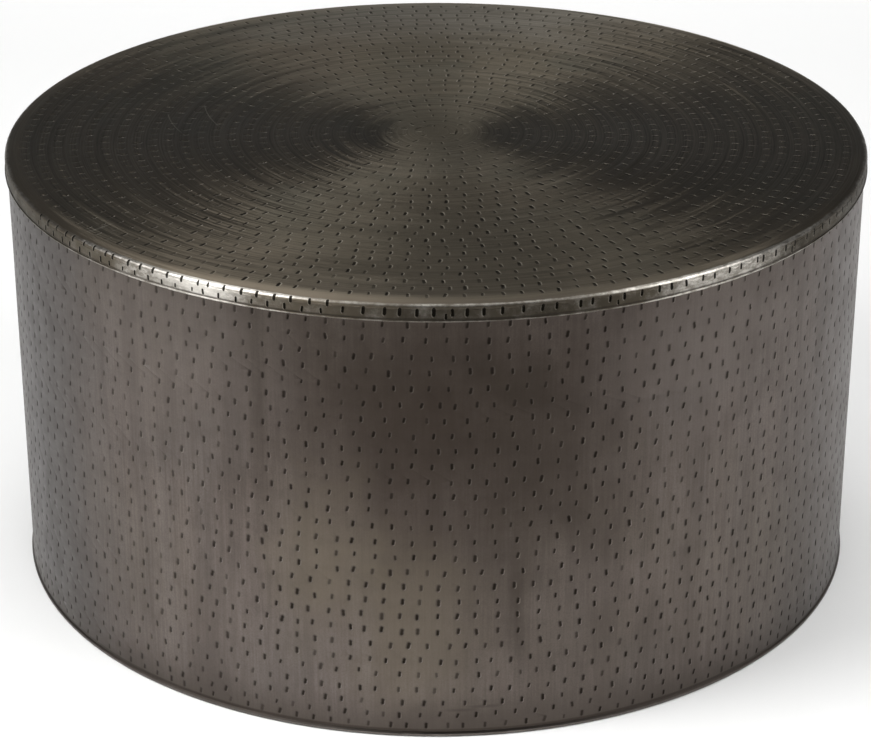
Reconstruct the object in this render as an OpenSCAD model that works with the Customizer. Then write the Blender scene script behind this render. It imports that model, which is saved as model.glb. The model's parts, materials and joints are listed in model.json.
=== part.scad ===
// Drum coffee table: a sheet-metal drum with wired edges, stiffened by a welded inner frame,
// and a spun lid that laps over the drum's rim and lifts off. The drum is open inside for storage.
// Millimetres. +Z is up, the origin is on the floor under the middle, and the front faces -Y.

/* [Overall] */
// Height from the floor to the flat of the lid
table_h = 390; // [300:1:520]
// Diameter over the rolled lip of the lid
lid_d = 762; // [560:1:1000]

/* [Lid skin] */
// Thickness of the lid's sheet
lid_t = 0.9; // [0.7:0.1:1.2]
// Depth from the flat of the lid to the underside of its lip
lid_depth = 14.8; // [13:0.1:24]
// Width of the margin that turns gently down before the shoulder
margin_w = 13; // [8:0.5:24]
// Slope of that margin where it meets the shoulder, in degrees
margin_slope = 8; // [3:0.5:12]
// Outside radius of the shoulder
shoulder_r = 3; // [2:0.25:4]
// How far the rolled lip stands proud of the skirt
lip_proud = 0.8; // [0.2:0.1:1.2]

/* [Lid inside] */
// Thickness of the board glued under the lid's skin
lid_board_t = 9; // [6:0.5:12]
// Chamfer on the lower edge of the board, which leads it into the drum
lid_board_lead = 2; // [1:0.25:4]
// Clearance round the board in the mouth of the drum
lid_board_play = 2.5; // [1:0.25:5]
// Thickness of the felt between the lid and the drum's rim
felt_t = 1.5; // [1:0.1:3]

/* [Drum] */
// Clearance between the lid's skirt and the drum
lid_play = 0.9; // [0.5:0.1:2]
// Thickness of the drum's sheet
wall_t = 1; // [0.8:0.1:1.2]
// Outside radius of the drum's two wired edges
bead_r = 2.25; // [2:0.05:3]
// How far the foot's wired edge stands proud of the drum
foot_proud = 1.6; // [0.8:0.1:2]
// Height of the band worn flat under the foot's wired edge
foot_flat = 0.35; // [0.2:0.05:0.5]
// Width of the line where the drum's sheet meets itself
seam_w = 0.4; // [0.2:0.1:0.8]
// Bearing of the seam, in degrees round from the front towards +X
seam_bearing = 191; // [150:1:210]

/* [Inner frame] */
// Thickness of the frame's bar
bar_t = 3; // [2:0.5:5]
// Height of the hoop under the rim
rim_hoop_h = 20; // [12:1:30]
// Height of the angle ring in the foot
base_ring_h = 25; // [18:1:40]
// Width of the angle ring's ledge, under the floor panel
ledge_w = 20; // [16:1:30]
// Width of the three uprights
upright_w = 25; // [16:1:40]
// Width of the strap behind the seam, which is the fourth upright
strap_w = 40; // [25:1:60]

/* [Floor panel] */
// Thickness of the panel
panel_t = 12; // [9:0.5:18]
// Clearance round the panel, inside the uprights
panel_play = 1; // [0.5:0.25:3]
// Number of screws that hold the panel down
screw_n = 8; // [4:1:12]
// Diameter of a screw's shank
screw_d = 4; // [3:0.25:5]
// Length of a screw under its head
screw_l = 12; // [10:0.5:12]
// Diameter of a screw's head
screw_head_d = 8; // [7:0.25:10]
// Height of a screw's head
screw_head_h = 2.6; // [2:0.1:3]

/* [Hidden] */
$fn = 180;

// Bearings are turned into angles about Z, because the front faces -Y
front = -90;

// Gap left where two rolled or welded pieces lie against each other
weld_gap = 0.3;
// Gap between the drum's sheet and the bars that are rolled to lie behind it
sheet_gap = 0.5;
// Gap between the wire and the sheet rolled round it
wire_gap = 0.25;
// Gap between the felt and the rim that it rests on
seat_gap = 0.3;
// Clearance round a screw in its hole
screw_gap = 0.3;

// Lid skin: the skirt, the shoulder's arc and the much larger arc of the margin, which share a tangent
skirt_r = lid_d / 2 - lip_proud;
margin_r = skirt_r - shoulder_r - margin_w;
margin_arc = shoulder_r + margin_w / sin(margin_slope);
margin_c = [margin_r, table_h - margin_arc];
shoulder_c = margin_c + (margin_arc - shoulder_r) * [sin(margin_slope), cos(margin_slope)];
lip_r = (lid_t + lip_proud) / 2;
lip_c = [lid_d / 2 - lip_r, table_h - lid_depth + lip_r];

// Drum: it stands inside the skirt, and its edges are rolled round a wire
wall_r = skirt_r - lid_t - lid_play;
wall_in = wall_r - wall_t;
wire_r = bead_r - wall_t - wire_gap;
foot_c = [wall_r + foot_proud - bead_r, bead_r - foot_flat];

// Underside of the lid's skin at radius r, as far as the inside of the skirt
function under_margin(r) =
    margin_c[1] + sqrt(pow(margin_arc - lid_t, 2) - pow(max(r - margin_r, 0), 2));
function under_shoulder(r) =
    shoulder_c[1] + sqrt(pow(shoulder_r - lid_t, 2) - pow(r - shoulder_c[0], 2));
function under_skin(r) =
    r < shoulder_c[0] + (shoulder_r - lid_t) * sin(margin_slope) ? under_margin(r) : under_shoulder(r);

// The rim stands as high as the felt allows over the whole top of its roll
rim_c_r = wall_r - bead_r;
rim_top = min([for (a = [0:10:60])
    under_skin(min(rim_c_r + bead_r * sin(a), skirt_r - lid_t - 0.1)) + bead_r * (1 - cos(a))])
    - felt_t - seat_gap;
rim_c = [rim_c_r, rim_top - bead_r];

// Inner frame: two rings joined by the uprights and the strap
frame_r = wall_in - sheet_gap;
rim_hoop_z = rim_top - 2 * bead_r - weld_gap - rim_hoop_h;
base_ring_z = foot_c[1] + bead_r + weld_gap;
base_ring_top = base_ring_z + base_ring_h;
upright_face = sqrt(pow(frame_r, 2) - pow(max(upright_w, strap_w) / 2, 2));

// Floor panel, on the ledge of the angle ring and between the uprights
panel_r = upright_face - bar_t - panel_play;
ledge_in = frame_r - ledge_w;
screw_r = (ledge_in + frame_r - bar_t) / 2;

// Lid board, which drops into the mouth of the drum
lid_board_r = wall_r - max(2 * bead_r, wall_t + sheet_gap + bar_t) - lid_board_play;

// Points on an arc about c, from angle a0 to a1 measured from the vertical, without the first one
function arc(c, r, a0, a1, n = 8) =
    [for (i = [1:n]) let (a = a0 + (a1 - a0) * i / n) c + r * [sin(a), cos(a)]];

// Section of a sheet edge rolled round a wire: a ring, open between two angles
module rolled_edge(open_from, open_to) {
    difference() {
        circle(r = bead_r);
        circle(r = bead_r - wall_t);
        polygon([[0, 0],
                 2 * bead_r * [cos(open_from), sin(open_from)],
                 2 * bead_r * [cos(open_to), sin(open_to)]]);
    }
}

// Section of the drum's sheet: the rim is rolled inwards, flush with the wall,
// and the foot is rolled outwards and dressed flat on the floor
module wall_section() {
    difference() {
        translate([wall_in, foot_c[1]])
            square([wall_t, rim_c[1] - foot_c[1]]);
        translate(foot_c)
            circle(r = bead_r - wall_t);
    }
    translate(rim_c)
        rolled_edge(-75, -2);
    difference() {
        translate(foot_c)
            rolled_edge(108, 140);
        translate([foot_c[0] - bead_r, -bead_r])
            square([2 * bead_r, bead_r]);
    }
}

module drum_wall() {
    color("#5a544c")
    difference() {
        rotate_extrude()
            wall_section();
        rotate([0, 0, front + seam_bearing])
            translate([wall_in - 2 * bead_r, -seam_w / 2, -1])
                cube([4 * bead_r, seam_w, table_h]);
    }
}

module edge_wire(c) {
    color("#77726a")
    rotate_extrude()
        translate(c)
            circle(r = wire_r, $fn = 24);
}

module rim_wire() {
    edge_wire(rim_c);
}

module foot_wire() {
    edge_wire(foot_c);
}

// Flat bar rolled into a hoop that stiffens the mouth of the drum
module rim_hoop() {
    color("#3d3a37")
    rotate_extrude()
        translate([frame_r - bar_t, rim_hoop_z])
            square([bar_t, rim_hoop_h]);
}

// Places what follows at each screw, on the middle of the ledge
module at_screws() {
    for (i = [0:screw_n - 1])
        rotate([0, 0, front + (i + 0.5) * 360 / screw_n])
            translate([screw_r, 0, 0])
                children();
}

// Angle bar rolled into a ring, whose ledge carries the floor panel
module base_ring() {
    color("#3d3a37")
    difference() {
        rotate_extrude()
            polygon([[frame_r, base_ring_z],
                     [frame_r, base_ring_top],
                     [ledge_in, base_ring_top],
                     [ledge_in, base_ring_top - bar_t],
                     [frame_r - bar_t, base_ring_top - bar_t],
                     [frame_r - bar_t, base_ring_z]]);
        at_screws()
            translate([0, 0, base_ring_top - 2 * bar_t])
                cylinder(d = screw_d + 2 * screw_gap, h = 3 * bar_t, $fn = 32);
    }
}

// Flat bar between the two rings, at a bearing round from the front
module upright(bearing) {
    color("#3d3a37")
    rotate([0, 0, front + bearing])
        translate([upright_face - bar_t, -upright_w / 2, base_ring_top])
            cube([bar_t, upright_w, rim_hoop_z - base_ring_top]);
}

module upright_front() {
    upright(seam_bearing - 180);
}

module upright_right() {
    upright(seam_bearing - 90);
}

module upright_left() {
    upright(seam_bearing + 90);
}

// Strap behind the seam, as tall as the uprights and curved like the sheet that it backs
module seam_strap() {
    color("#3d3a37")
    intersection() {
        rotate_extrude()
            translate([frame_r - bar_t, base_ring_top])
                square([bar_t, rim_hoop_z - base_ring_top]);
        rotate([0, 0, front + seam_bearing])
            translate([0, -strap_w / 2, 0])
                cube([2 * frame_r, strap_w, table_h]);
    }
}

module floor_panel() {
    color("#2b2825")
    difference() {
        translate([0, 0, base_ring_top])
            cylinder(r = panel_r, h = panel_t);
        at_screws()
            translate([0, 0, base_ring_top - 1])
                cylinder(d = screw_d + 2 * screw_gap, h = screw_l - bar_t + 2, $fn = 32);
    }
}

// Pan-head screws that come up through the ledge into the floor panel
module panel_screws() {
    head_z = base_ring_top - bar_t - screw_head_h;
    slot_w = screw_head_d / 8;
    color("#8d8a85")
    at_screws()
        translate([0, 0, head_z])
            difference() {
                union() {
                    cylinder(d = screw_head_d, h = screw_head_h, $fn = 32);
                    cylinder(d = screw_d, h = screw_head_h + screw_l, $fn = 32);
                }
                for (a = [0, 90])
                    rotate([0, 0, a])
                        translate([-screw_head_d / 4, -slot_w / 2, -1])
                            cube([screw_head_d / 2, slot_w, 1 + screw_head_h / 2]);
            }
}

// Section of the lid's sheet. The lip is a tight roll, flush with the inside of the skirt.
module lid_section() {
    skirt_in = skirt_r - lid_t;
    roll_from = asin((skirt_r - lip_c[0]) / lip_r);
    polygon(concat(
        [[0, table_h], [margin_r, table_h]],
        arc(margin_c, margin_arc, 0, margin_slope),
        arc(shoulder_c, shoulder_r, margin_slope, 90),
        [[skirt_r, lip_c[1] + lip_r * cos(roll_from)]],
        arc(lip_c, lip_r, roll_from, 270, 16),
        [[skirt_in, shoulder_c[1]]],
        arc(shoulder_c, shoulder_r - lid_t, 90, margin_slope),
        arc(margin_c, margin_arc - lid_t, margin_slope, 0),
        [[0, table_h - lid_t]]));
}

module lid_skin() {
    color("#4b4841")
    rotate_extrude()
        lid_section();
}

module lid_board() {
    board_top = table_h - lid_t;
    color("#2b2825")
    rotate_extrude()
        polygon([[0, board_top],
                 [margin_r, board_top],
                 [lid_board_r, min(board_top, under_skin(lid_board_r)) - weld_gap],
                 [lid_board_r, board_top - lid_board_t + lid_board_lead],
                 [lid_board_r - lid_board_lead, board_top - lid_board_t],
                 [0, board_top - lid_board_t]]);
}

// Felt strip glued under the margin of the lid, where the drum's rim meets it
module lid_felt_ring() {
    felt_in = lid_board_r + weld_gap;
    felt_out = rim_c[0] + bead_r / 2;
    steps = 6;
    color("#1f1d1b")
    rotate_extrude()
        polygon(concat(
            [[felt_out, rim_top + seat_gap], [felt_in, rim_top + seat_gap]],
            [for (i = [0:steps])
                let (r = felt_in + (felt_out - felt_in) * i / steps)
                    [r, under_skin(r) - weld_gap / 2]]));
}

drum_wall();
rim_wire();
foot_wire();
rim_hoop();
base_ring();
upright_front();
upright_right();
upright_left();
seam_strap();
floor_panel();
panel_screws();
lid_skin();
lid_board();
lid_felt_ring();
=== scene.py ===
# %% [markdown]
# # A punched sheet-metal drum table
# The table is a drum of sheet steel with a loose spun lid. Both are punched all over with small
# slits, patinated to a dark pewter colour, and worn bright where hands and cloths rub them.
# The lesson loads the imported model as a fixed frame, replaces its two plain sheets by punched
# ones, and gives every piece a finish made of nodes.

# %% The frame
import json
import math

import bpy
import numpy as np
from mathutils import Matrix, Vector


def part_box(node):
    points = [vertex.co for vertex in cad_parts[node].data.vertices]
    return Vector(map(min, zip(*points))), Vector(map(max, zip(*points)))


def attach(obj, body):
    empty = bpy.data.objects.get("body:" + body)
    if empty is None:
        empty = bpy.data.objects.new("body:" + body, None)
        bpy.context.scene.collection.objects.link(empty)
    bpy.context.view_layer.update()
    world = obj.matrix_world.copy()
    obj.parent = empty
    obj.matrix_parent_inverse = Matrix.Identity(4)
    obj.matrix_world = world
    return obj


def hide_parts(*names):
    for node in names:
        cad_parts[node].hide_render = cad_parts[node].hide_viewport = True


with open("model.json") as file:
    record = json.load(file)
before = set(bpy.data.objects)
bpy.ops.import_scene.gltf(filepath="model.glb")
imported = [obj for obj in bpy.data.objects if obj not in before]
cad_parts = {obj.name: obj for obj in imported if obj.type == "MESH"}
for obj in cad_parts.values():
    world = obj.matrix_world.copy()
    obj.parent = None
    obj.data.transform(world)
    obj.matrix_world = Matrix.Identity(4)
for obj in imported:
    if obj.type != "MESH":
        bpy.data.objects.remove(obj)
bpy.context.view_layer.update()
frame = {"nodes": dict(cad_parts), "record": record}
nodes = frame["nodes"]
scene = bpy.context.scene

# %% [markdown]
# ## Sizes
# All lengths are millimetres until a mesh is made. The drum and the lid are round about Z, so a
# point is given by its bearing, its radius and its height. Bearings start at the front, which
# faces -Y, and grow towards +X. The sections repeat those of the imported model.

# %% Sizes of the two sheets
MM = 0.001
TURN = 2 * math.pi
# The lid: its flat, its sheet, the skirt, the margin that turns down, the shoulder and the lip
LID_TOP = 390.0
LID_T = 0.9
SKIRT_R = 380.2
MARGIN_R = 364.2
MARGIN_W = 13
MARGIN_SLOPE = math.radians(8)
SHOULDER_R = 3.0
MARGIN_ARC = SHOULDER_R + MARGIN_W / math.sin(MARGIN_SLOPE)
LIP_R = 0.82
LIP_C = (380.05, 376.05)
# The drum: its wall, the roll of its wired edges with the two centres, and the seam's bearing
WALL_R = 378.4
BEAD_R = 2.25
FOOT_C = (377.75, 1.9)
RIM_C = (376.15, 384.28)
SEAM = math.radians(191)
chance = np.random.default_rng(27)


def turned(bearing, radius, height):
    """Points of a round piece: x is radius times the sine of the bearing, y is minus radius
    times its cosine, and z is the height."""
    bearing, radius, height = np.broadcast_arrays(bearing, radius, height)
    return np.stack([radius * np.sin(bearing), -radius * np.cos(bearing), height], axis=-1)


def smooth(low, high, value):
    """A soft step: 0 up to low, 1 from high on, and 3t^2 - 2t^3 between them."""
    t = np.clip((value - low) / (high - low), 0, 1)
    return t * t * (3 - 2 * t)


def degrees_off(bearing, at):
    """How far a bearing in radians lies past another one in degrees, from -180 to 180."""
    return (np.degrees(bearing) - at + 180) % 360 - 180


def spread(middle, width, low, high, shape):
    """Random values that gather round a middle and stay between low and high."""
    return np.clip(chance.normal(middle, width, shape), low, high)


low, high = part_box("lid_skin")
print("lid skin reaches radius", round(high.x * 1000, 2), "and height", round(high.z * 1000, 2))

# %% [markdown]
# ## The punched cell
# Each slit was struck with a small chisel, one at a time, so the slits keep rough rows and no two
# are alike. A texture could draw them, but a real dent also catches the light and shows on the
# mesh that is kept. So the sheets are divided into cells with one dent each: five strips of four
# small quads, whose middle holds a six-sided rim and two sunken points. Thousands of slits stay
# affordable, because a cell has only forty triangles.

# %% Which way the quads of a cell are split, and which halves lie in the dent
STRIPS, FILES = 5, 4
split = np.zeros((STRIPS, FILES), int)
split[1, 1] = split[3, 2] = 1
corners = np.array([[[[0, 0], [0, 1], [1, 1]], [[0, 0], [1, 1], [1, 0]]],
                    [[[0, 0], [0, 1], [1, 0]], [[0, 1], [1, 1], [1, 0]]]])
in_dent = np.zeros((STRIPS, FILES, 2), bool)
in_dent[1, 1, 1] = in_dent[1, 2, 1] = in_dent[3, 1, 0] = in_dent[3, 2, 0] = True
in_dent[2, 1:3] = True
RIM_POINTS = ((1, 2), (2, 1), (2, 3), (3, 1), (3, 3), (4, 2))
OFFSETS_ACROSS = np.array([0, -1, 0, 1.0])
OFFSETS_UP = np.array([-1, -0.42, 0.42, 1.0])
print("triangles in the dent of a cell:", int(in_dent.sum()), "of", STRIPS * FILES * 2)


# %% Points of rows of cells
def cell_points(bearing, along, lean, width, length, radius, low_edge, high_edge, even_edges=False):
    """Bearings and heights of the points of J rows of I cells each, as (5J + 1, 4I) arrays.
    Round each slit's centre, three offsets across it and four along it are turned by its lean.
    The files between cells lie half-way between the neighbours, and so do the strips between
    rows. The outer edges lie at low_edge and high_edge, at even bearings if even_edges is set."""
    rows, count = bearing.shape
    across = OFFSETS_ACROSS[None, None, None, :] * width[:, None, :, None]
    up = OFFSETS_UP[None, :, None, None] * length[:, None, :, None]
    lean = lean[:, None, :, None]
    b = bearing[:, None, :, None] + (across * np.cos(lean) + up * np.sin(lean)) / radius
    t = along[:, None, :, None] + up * np.cos(lean) - across * np.sin(lean)
    b = b.reshape(rows, 4, 4 * count)
    t = np.broadcast_to(t, (rows, 4, count, 4)).reshape(rows, 4, 4 * count).copy()
    before = np.roll(b[:, :, 3::4], 1, axis=2)
    before[:, :, 0] -= TURN
    b[:, :, 0::4] = (before + b[:, :, 1::4]) / 2
    t[:, :, 0::4] = (np.roll(t[:, :, 3::4], 1, axis=2) + t[:, :, 1::4]) / 2
    edge_b = np.empty((rows + 1, 4 * count))
    edge_t = np.empty((rows + 1, 4 * count))
    edge_b[1:-1], edge_t[1:-1] = (b[:-1, 3] + b[1:, 0]) / 2, (t[:-1, 3] + t[1:, 0]) / 2
    even = np.arange(4 * count) * TURN / (4 * count)
    edge_b[0], edge_b[-1] = (even, even) if even_edges else (b[0, 0], b[-1, 3])
    edge_t[0], edge_t[-1] = low_edge, high_edge
    all_b = np.concatenate([edge_b[:-1, None], b], axis=1).reshape(5 * rows, -1)
    all_t = np.concatenate([edge_t[:-1, None], t], axis=1).reshape(5 * rows, -1)
    return np.vstack([all_b, edge_b[-1:]]), np.vstack([all_t, edge_t[-1:]])


def cell_sink(depth, pucker):
    """How far each point of the cells is sunk: the two middle points by the slit's depth, and
    the six points of its rim by the pucker round it."""
    rows, count = depth.shape
    sink = np.zeros((rows, 5, count, 4))
    sink[:, 2:4, :, 2] = depth[:, None, :]
    for strip, file in RIM_POINTS:
        sink[:, strip, :, file] = pucker
    return np.vstack([sink.reshape(5 * rows, 4 * count), np.zeros((1, 4 * count))])


def cell_faces(b, t, bearing, along, lean, size, radius, first):
    """Triangles of the cells, and for each corner its place in its own slit's frame: how far
    across and along the slit it lies, in millimetres, divided by the slit's size. The last two
    results say which triangles lie in the dent, and which slit each belongs to."""
    rows, files = b.shape[0] - 1, b.shape[1]
    strip, file = np.mgrid[0:rows, 0:files]
    step = corners[split[strip % STRIPS, file % FILES]]
    r = strip[..., None, None] + step[..., 0]
    f = file[..., None, None] + step[..., 1]
    j = np.broadcast_to((strip // STRIPS)[..., None, None], r.shape)
    i = np.broadcast_to((file // FILES)[..., None, None], r.shape)
    turn_on = np.where(f == files, TURN, 0.0)
    across = (b[r, f % files] + turn_on - bearing[j, i]) * radius
    up = t[r, f % files] - along[j, i]
    cos, sin = np.cos(lean[j, i]), np.sin(lean[j, i])
    place = np.stack([across * cos - up * sin, up * cos + across * sin], axis=-1) / size[j, i][..., None]
    dent = in_dent[strip % STRIPS, file % FILES]
    slit = np.stack([j[..., 0], i[..., 0]], axis=-1)
    faces = (first + r * files + f % files).reshape(-1, 3)
    return faces, place.reshape(-1, 3, 2), dent.reshape(-1), slit.reshape(-1, 2)


# %% Triangles between two rings of points
def step_faces(lower, upper, count):
    """Triangles between two rings of as many points, facing outwards when upper is above."""
    f = np.arange(count)
    g = (f + 1) % count
    return np.concatenate([np.stack([lower + f, lower + g, upper + g], -1),
                           np.stack([lower + f, upper + g, upper + f], -1)])


def between(first_a, n, first_b, m):
    """Triangles between a ring of n points and one of m points. Each edge of one ring gets the
    point of the other that is due when both rings' edges are met in the order of their middles."""
    i, j = np.arange(n), np.arange(m)
    due_b = -((n - (2 * i + 1) * m) // (2 * n))
    due_a = ((2 * j + 1) * n - m) // (2 * m) + 1
    from_a = np.stack([first_a + i, first_a + (i + 1) % n, first_b + due_b % m], axis=-1)
    from_b = np.stack([first_b + (j + 1) % m, first_b + j, first_a + due_a % n], axis=-1)
    return np.vstack([from_a, from_b])


# %% [markdown]
# ## Putting a sheet together
# A sheet is a stack of rings of points. The pieces of it that have no slits get a place far away
# in the slit's frame, so that the finish finds no slit there. The edges round each dent are kept
# sharp, because the chisel cuts a crisp rim, and everything else is shaded smooth.

# %% A collector for the rings, and the mesh made of them
NOWHERE = 9.0


class Sheet:
    """Points and triangles that are collected ring by ring and then made one closed mesh."""

    def __init__(self):
        self.points, self.faces, self.places, self.dents, self.strikes, self.count = [], [], [], [], [], 0

    def add_points(self, points):
        """Takes points in, and says what number the first of them has."""
        first = self.count
        self.points.append(points.reshape(-1, 3))
        self.count += len(self.points[-1])
        return first

    def add_faces(self, faces, places=None, dents=None, strikes=None):
        """Takes triangles in, with how hard their slit was struck; by default they have no slit."""
        self.faces.append(faces)
        self.places.append(np.full((len(faces), 3, 2), NOWHERE) if places is None else places)
        self.dents.append(np.zeros(len(faces), bool) if dents is None else dents)
        self.strikes.append(np.zeros(len(faces)) if strikes is None else strikes)

    def rings(self, first, rows, files):
        """Triangles between neighbours in a stack of plain rings of as many points."""
        for lower in first + files * np.arange(rows - 1):
            self.add_faces(step_faces(lower, lower + files, files))

    def make(self, name, body, node):
        """The mesh, riding on its body and standing for its CAD node."""
        points = np.vstack(self.points) * MM
        faces, places = np.vstack(self.faces), np.vstack(self.places)
        dents = np.concatenate(self.dents)
        mesh = bpy.data.meshes.new(name)
        mesh.vertices.add(len(points))
        mesh.vertices.foreach_set("co", points.astype(np.float32).ravel())
        mesh.loops.add(faces.size)
        mesh.loops.foreach_set("vertex_index", faces.astype(np.int32).ravel())
        mesh.polygons.add(len(faces))
        mesh.polygons.foreach_set("loop_start", np.arange(0, faces.size, 3, dtype=np.int32))
        mesh.update(calc_edges=True)
        mesh.polygons.foreach_set("use_smooth", np.ones(len(faces), bool))
        edges = np.empty(faces.size, np.int32)
        mesh.loops.foreach_get("edge_index", edges)
        meets = np.bincount(edges, weights=np.repeat(dents, 3), minlength=len(mesh.edges))
        sharp = mesh.attributes.new("sharp_edge", "BOOLEAN", "EDGE")
        sharp.data.foreach_set("value", meets == 1)
        slits = mesh.uv_layers.new(name="slit")
        slits.data.foreach_set("uv", places.astype(np.float32).ravel())
        strike = mesh.attributes.new("strike", "FLOAT", "FACE")
        strike.data.foreach_set("value", np.concatenate(self.strikes).astype(np.float32))
        mesh.update()
        piece = bpy.data.objects.new(name, mesh)
        scene.collection.objects.link(piece)
        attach(piece, body)
        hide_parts(node)
        print(name, "has", len(faces), "triangles; problems mended:", mesh.validate())
        return piece


# %% [markdown]
# ## The drum's sheet
# The drum was rolled from one sheet, and a seam runs up its back. The slits run in rows whose
# start shifts a little from one to the next. Each row also drifts round the drum by slow sine
# waves, and the whole cells of that drift fade out near the seam, so that a row has as many slits
# on both sides of it. Left of the front, at a bearing of -40 degrees, the blows were lighter.

# %% Places of the drum's slits
WALL_CELLS = 152
SEAM_CELL = WALL_CELLS - 1
ROW_STEP = 13.62
LIGHT_BLOWS_AT = -40
row_heights = np.concatenate([[10.0, 19.7, 31.0, 44.3, 58.6], 72.2 + ROW_STEP * np.arange(23)])
rows = len(row_heights)
cell_angle = TURN / WALL_CELLS
base = SEAM - TURN + cell_angle * (1 + np.arange(WALL_CELLS))
from_seam = np.minimum(np.arange(WALL_CELLS) + 1, WALL_CELLS - 1 - np.arange(WALL_CELLS))
fade = smooth(0.5, 18, from_seam)
phase = np.cumsum(chance.uniform(-0.3, 0.3, rows)) - 0.12 * np.arange(rows)


def waves(count, height):
    """Slow waves of the bearing for each row: sines of 1 to count turns with random phases."""
    out = np.zeros((rows, WALL_CELLS))
    for k in range(1, count + 1):
        out += np.sin(k * base[None, :] + chance.uniform(0, TURN, (rows, 1))) / math.sqrt(count)
    return out * height


whole = np.round(phase)[:, None]
shift = phase[:, None] - whole + (whole + waves(7, 0.35)) * fade
shift += chance.normal(0, 0.07, shift.shape)
wall_bearing = base[None, :] + shift * cell_angle
wall_along = row_heights[:, None] + waves(5, 0.5) + chance.normal(0, 0.55, shift.shape)
wall_along[0] = row_heights[0] + chance.normal(0, 0.25, WALL_CELLS)
wall_lean = math.radians(6) + chance.normal(0, math.radians(6), shift.shape)
wall_size = spread(1.0, 0.1, 0.72, 1.25, shift.shape)
wall_strike = spread(0.85, 0.18, 0.4, 1.0, shift.shape)
wall_strike = wall_strike * (1 - 0.3 * np.exp(-(degrees_off(base, LIGHT_BLOWS_AT) / 24) ** 2))
wall_deep = 0.12 + 0.33 * wall_strike
wall_wide, wall_long = 1.0 * wall_size, 2.6 * wall_size
for seam_value, values in ((SEAM, wall_bearing), (0.0, wall_lean), (0.0, wall_deep),
                           (0.3, wall_wide), (1.0, wall_size)):
    values[:, SEAM_CELL] = seam_value
wall_along[:, SEAM_CELL] = row_heights
print("drum:", rows, "rows of", WALL_CELLS - 1, "slits")

# %% [markdown]
# The foot is rolled outwards round a wire and the rim inwards. The whole sheet is one closed
# surface: the section's rings, from the inside of the foot under its roll, up the outside, over
# the rim and down the inside. Soft dents and a few creases come from low bumps that are taken
# off the radius. Each is a bearing and a height, how wide it is in degrees, and how tall and how
# deep it is. The seam is a narrow groove from the foot to the rim, which the finish sees as one
# long slit: its place has no height, and its width is stretched.

# %% Soft dents, and the drum's mesh
WALL_FROM, WALL_TO = 4.7, 380.0
PUCKER = 0.1
SEAM_DEEP, SEAM_STRIKE = 0.85, 0.8
SEAM_STRETCH = np.array([2.6, 0.0])
DENTS = ((11.5, 160, 0.9, 45, 0.35), (4.5, 26, 3.2, 3.2, 0.35), (28, 292, 4.5, 4, 0.3),
         (-38, 210, 6, 40, 0.2), (70, 120, 7, 30, 0.25), (140, 240, 6, 34, 0.3),
         (-120, 90, 7, 28, 0.3), (-84, 300, 5, 30, 0.2))


def ease_of(bearing, height):
    """How far the drum's sheet lies off a true cylinder: slow waves, and dents and creases as
    bells of the bearing and the height."""
    off = 0.10 * np.sin(3 * bearing + 0.7) * np.sin(height / 90.0)
    off = off + 0.07 * np.sin(7 * bearing + height / 70.0)
    for at, up, wide, tall, deep in DENTS:
        bell = np.exp(-(degrees_off(bearing, at) / wide) ** 2 - ((height - up) / tall) ** 2)
        off = off - deep * bell
    return off * smooth(4.5, 16, height) * smooth(380, 366, height)


def arc(centre, radius, start, stop, count):
    """Points on an arc of the section, at angles from the vertical, in degrees."""
    a = np.radians(np.linspace(start, stop, count))
    return centre[0] + radius * np.sin(a), centre[1] + radius * np.cos(a)


wall = Sheet()
b, t = cell_points(wall_bearing, wall_along, wall_lean, wall_wide, wall_long, WALL_R, WALL_FROM, WALL_TO)
files = b.shape[1]
sink = cell_sink(wall_deep, PUCKER)
sink[:, 4 * SEAM_CELL:4 * SEAM_CELL + 4] = np.array([0, 0, SEAM_DEEP, 0])
foot_r, foot_z = arc(FOOT_C, BEAD_R, 16.8, 147.6, 6)
inner_r, inner_z = arc(FOOT_C, BEAD_R, 351, 212.4, 4)
rim_r, rim_z = arc(RIM_C, BEAD_R, 90, -210, 10)
below_r = np.concatenate([inner_r, foot_r[::-1]])
below_z = np.concatenate([inner_z, foot_z[::-1]])
below = turned(b[:1], below_r[:, None], below_z[:, None])
outside = turned(b, WALL_R - sink + ease_of(b, t), t)
above = turned(b[-1:], rim_r[:, None], rim_z[:, None])
first = wall.add_points(np.concatenate([below, outside, above]))
start = first + len(below_r) * files
top = start + (len(b) - 1) * files
wall.rings(first, len(below_r) + 1, files)
faces, places, dents, slit = cell_faces(b, t, wall_bearing, wall_along, wall_lean, wall_size, WALL_R, start)
in_seam = slit[:, 1] == SEAM_CELL
places[in_seam] *= SEAM_STRETCH
file_of = (np.arange(len(faces)) // 2) % files % 4
dents = np.where(in_seam, (file_of == 1) | (file_of == 2), dents)
wall.add_faces(faces, places, dents, np.where(in_seam, SEAM_STRIKE, wall_strike[slit[:, 0], slit[:, 1]]))
wall.rings(top, len(rim_r) + 1, files)
wall.add_faces(step_faces(top + len(rim_r) * files, first, files))
punched_wall = wall.make("punched_wall", "drum", "drum_wall")

# %% [markdown]
# ## The lid
# The lid was spun: a flat disc whose edge turns down over a tight shoulder into a short skirt,
# with a small rolled lip. Its slits point to the middle and stand in rings, so each ring has its
# own number of cells. Two rings with unlike numbers are joined by triangles that are dealt out
# evenly. Towards the middle the slits are smaller and struck more lightly.

# %% The lid's section
shoulder_c = (MARGIN_R + (MARGIN_ARC - SHOULDER_R) * math.sin(MARGIN_SLOPE),
              LID_TOP - MARGIN_ARC + (MARGIN_ARC - SHOULDER_R) * math.cos(MARGIN_SLOPE))


def lid_height(radius):
    """Height of the lid's top at a radius: flat, then on the arc of the margin."""
    past = np.maximum(radius - MARGIN_R, 0)
    return LID_TOP - MARGIN_ARC + np.sqrt(MARGIN_ARC ** 2 - past ** 2)


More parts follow.
